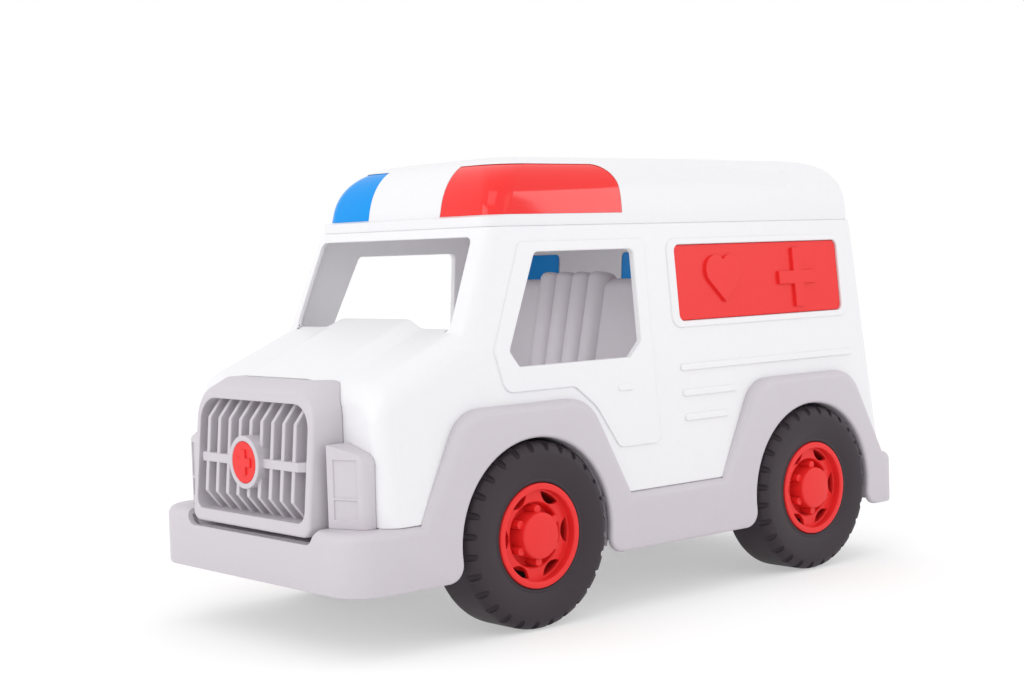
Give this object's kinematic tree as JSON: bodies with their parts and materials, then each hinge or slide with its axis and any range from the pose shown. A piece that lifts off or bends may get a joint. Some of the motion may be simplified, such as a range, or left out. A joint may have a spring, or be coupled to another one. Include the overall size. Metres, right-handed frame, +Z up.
{
  "type": "toy ambulance",
  "caption": "Moulded plastic toy ambulance with open windows, a bench seat, free-running wheels and twin rear doors that swing open.",
  "frame": {"origin": "on the ground under the middle of the vehicle", "axes": "+X to the vehicle's front, +Y to its left, +Z up"},
  "size_m": [0.427, 0.192, 0.255],
  "materials": {
    "white": "satin moulded plastic",
    "grey": "satin moulded plastic",
    "red": "gloss moulded plastic",
    "blue": "gloss moulded plastic",
    "black": "matt moulded plastic",
    "steel": "bright drawn wire"
  },
  "bodies": {
    "chassis": {"lower_body": "grey", "body_shell": "white", "roof_cap": "white", "grille": "grey", "grille_badge": "red", "headlamp_left": "grey", "headlamp_right": "grey", "roof_light_left": "red", "roof_light_right": "blue", "side_panel_left": "red", "side_panel_right": "blue", "bench_seat": "grey", "front_axle": "steel", "rear_axle": "steel", "axle_push_nuts": "steel", "hinge_pin_left": "steel", "hinge_pin_right": "steel", "body_screws": "steel"},
    "wheel_front_left": {"tyre_front_left": "black", "hub_front_left": "red"},
    "wheel_front_right": {"tyre_front_right": "black", "hub_front_right": "red"},
    "wheel_rear_left": {"tyre_rear_left": "black", "hub_rear_left": "red"},
    "wheel_rear_right": {"tyre_rear_right": "black", "hub_rear_right": "red"},
    "door_left": {"rear_door_left": "white"},
    "door_right": {"rear_door_right": "white"}
  },
  "joints": [
    {"name": "wheel_front_left_spin", "type": "hinge", "parent": "chassis", "child": "wheel_front_left", "pos_m": [0.09202, 0.0785, 0.05], "axis": [0, 1, 0], "continuous": true},
    {"name": "wheel_front_right_spin", "type": "hinge", "parent": "chassis", "child": "wheel_front_right", "pos_m": [0.09202, -0.0785, 0.05], "axis": [0, 1, 0], "continuous": true},
    {"name": "wheel_rear_left_spin", "type": "hinge", "parent": "chassis", "child": "wheel_rear_left", "pos_m": [-0.13399, 0.0785, 0.05], "axis": [0, 1, 0], "continuous": true},
    {"name": "wheel_rear_right_spin", "type": "hinge", "parent": "chassis", "child": "wheel_rear_right", "pos_m": [-0.13399, -0.0785, 0.05], "axis": [0, 1, 0], "continuous": true},
    {"name": "door_left_hinge", "type": "hinge", "parent": "chassis", "child": "door_left", "pos_m": [-0.20709, 0.06737, 0.11813], "axis": [-0.0604, 0, -0.9982], "range_deg": [0, 110]},
    {"name": "door_right_hinge", "type": "hinge", "parent": "chassis", "child": "door_right", "pos_m": [-0.20709, -0.06737, 0.11813], "axis": [0.0604, 0, 0.9982], "range_deg": [0, 110]}
  ]
}
